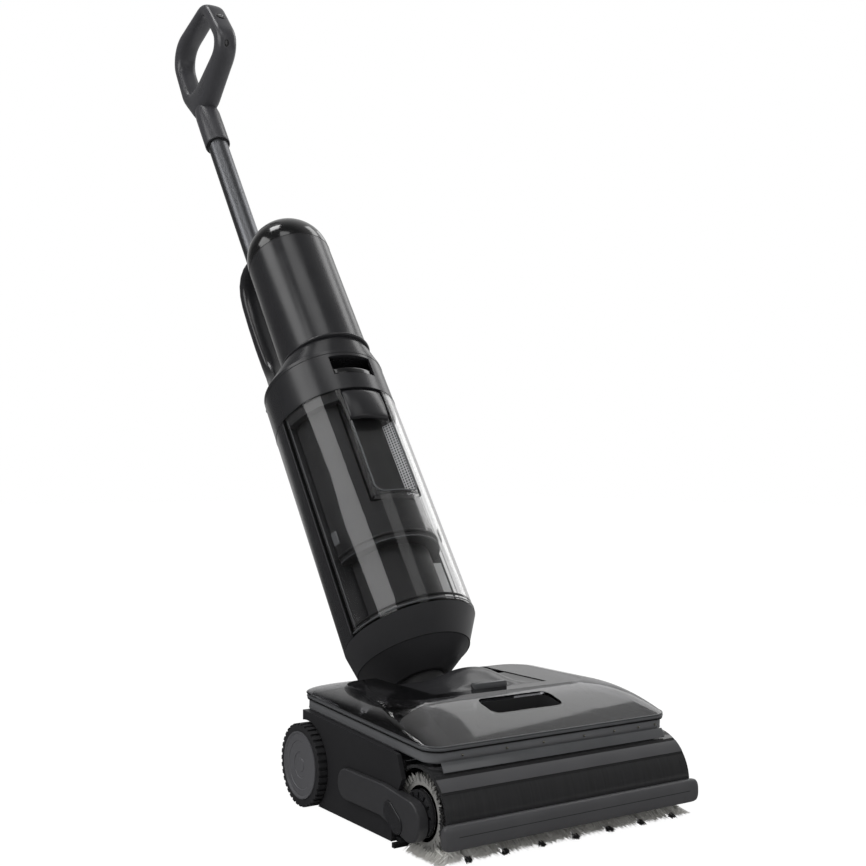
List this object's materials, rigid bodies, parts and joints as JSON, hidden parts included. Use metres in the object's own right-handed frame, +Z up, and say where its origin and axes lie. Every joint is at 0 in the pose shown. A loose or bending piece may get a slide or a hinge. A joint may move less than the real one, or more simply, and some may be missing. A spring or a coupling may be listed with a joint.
{
  "type": "wet dry floor scrubber",
  "caption": "Upright stick floor scrubber: clear-topped head with a driven pile roller, tilting and swivelling column, lift-out dirty water tank, carry handle and loop handle.",
  "frame": {"origin": "on the floor, at the middle of the squeegee's edge", "axes": "+X to the right of a viewer in front of the machine, -Y to the machine's front, +Z up"},
  "size_m": [0.282, 0.8603, 0.9257],
  "materials": {
    "black_plastic": "fine satin grain",
    "gloss_black": "polished",
    "smoke_clear": "clear smoked",
    "grey_plastic": "satin",
    "pile": "soft pile with dark tufts",
    "black_rubber": "matt",
    "tyre_rubber": "ribbed",
    "steel": "ground",
    "graphite_tube": "dark anodised",
    "motor_metal": "cast",
    "circuit_board": "lacquered"
  },
  "bodies": {
    "head": {"head_chassis": "black_plastic", "cover_band": "smoke_clear", "top_cover": "smoke_clear", "front_beam": "gloss_black", "hand_well": "black_plastic", "roller_shroud": "smoke_clear", "front_bumper": "black_rubber", "spray_bar": "black_plastic", "brush_motor": "motor_metal", "drive_belt": "black_rubber", "side_arm_left": "black_plastic", "side_arm_right": "black_plastic", "motor_pod": "black_plastic", "squeegee": "black_rubber", "squeegee_holder": "black_plastic", "suction_channel": "black_plastic", "axle_left": "steel", "axle_right": "steel", "hinge_bracket": "black_plastic", "hinge_pin": "steel", "neck_fairing": "gloss_black"},
    "roller": {"roller_shaft": "steel", "roller_core": "black_plastic", "roller_pile": "pile", "roller_hub_left": "black_plastic", "roller_hub_right": "black_plastic", "roller_pulley": "grey_plastic"},
    "motor_drive": {"motor_pulley": "steel"},
    "left_wheel": {"wheel_left": "grey_plastic", "tyre_left": "tyre_rubber"},
    "right_wheel": {"wheel_right": "grey_plastic", "tyre_right": "tyre_rubber"},
    "left_release": {"release_button_left": "gloss_black"},
    "right_release": {"release_button_right": "gloss_black"},
    "cover_press": {"cover_release": "gloss_black"},
    "yoke": {"tilt_yoke": "black_plastic"},
    "column": {"base_cup": "black_plastic", "back_housing": "black_plastic", "battery_pack": "black_plastic", "water_pump": "black_plastic", "control_board": "circuit_board", "collar": "black_plastic", "upper_body": "black_plastic", "display_dome": "gloss_black", "display_board": "circuit_board", "suction_motor": "motor_metal", "handle_tube": "graphite_tube", "carry_handle": "black_plastic", "handle_left": "gloss_black", "handle_right": "gloss_black"},
    "tank": {"dirty_tank": "smoke_clear", "tank_lid": "black_plastic", "separator_basket": "black_plastic", "intake_duct": "black_plastic"},
    "latch": {"tank_latch": "gloss_black"},
    "fan": {"impeller": "grey_plastic"},
    "power": {"power_button": "gloss_black"},
    "mode": {"mode_button": "gloss_black"}
  },
  "joints": [
    {"name": "roller_spin", "type": "hinge", "parent": "head", "child": "roller", "pos_m": [0, -0.028, 0.0325], "axis": [1, 0, 0], "continuous": true},
    {"name": "motor_spin", "type": "hinge", "parent": "head", "child": "motor_drive", "pos_m": [-0.1, 0.072, 0.036], "axis": [1, 0, 0], "continuous": true},
    {"name": "left_wheel_spin", "type": "hinge", "parent": "head", "child": "left_wheel", "pos_m": [-0.132, 0.15, 0.037], "axis": [1, 0, 0], "continuous": true},
    {"name": "right_wheel_spin", "type": "hinge", "parent": "head", "child": "right_wheel", "pos_m": [0.132, 0.15, 0.037], "axis": [1, 0, 0], "continuous": true},
    {"name": "left_release_push", "type": "slide", "parent": "head", "child": "left_release", "axis": [1, 0, 0], "range_m": [0, 0.001], "stiffness_N_per_m": 900},
    {"name": "right_release_push", "type": "slide", "parent": "head", "child": "right_release", "axis": [-1, 0, 0], "range_m": [0, 0.001], "stiffness_N_per_m": 900},
    {"name": "cover_release_push", "type": "slide", "parent": "head", "child": "cover_press", "axis": [0, 0, -1], "range_m": [0, 0.002], "stiffness_N_per_m": 900},
    {"name": "tilt", "type": "hinge", "parent": "head", "child": "yoke", "pos_m": [0, 0.15, 0.075], "axis": [-1, 0, 0], "range_deg": [-24, 42]},
    {"name": "swivel", "type": "hinge", "parent": "yoke", "child": "column", "pos_m": [0, 0.15, 0.075], "axis": [0, 0.5807, 0.8141], "range_deg": [-35, 35]},
    {"name": "tank_lift", "type": "slide", "parent": "column", "child": "tank", "axis": [0, -0.8141, 0.5807], "range_m": [0, 0.08]},
    {"name": "latch_push", "type": "slide", "parent": "tank", "child": "latch", "axis": [0, 0.8141, -0.5807], "range_m": [0, 0.0025], "stiffness_N_per_m": 900},
    {"name": "fan_spin", "type": "hinge", "parent": "column", "child": "fan", "pos_m": [0, 0.39769, 0.47564], "axis": [0, 0.5807, 0.8141], "continuous": true},
    {"name": "power_push", "type": "slide", "parent": "column", "child": "power", "axis": [0, 0.7375, -0.6753], "range_m": [0, 0.001], "stiffness_N_per_m": 900},
    {"name": "mode_push", "type": "slide", "parent": "column", "child": "mode", "axis": [0, -0.2935, -0.956], "range_m": [0, 0.001], "stiffness_N_per_m": 900}
  ],
  "couplings": [
    {"joint": "motor_spin", "follows": "roller_spin", "ratio": 1.4}
  ]
}
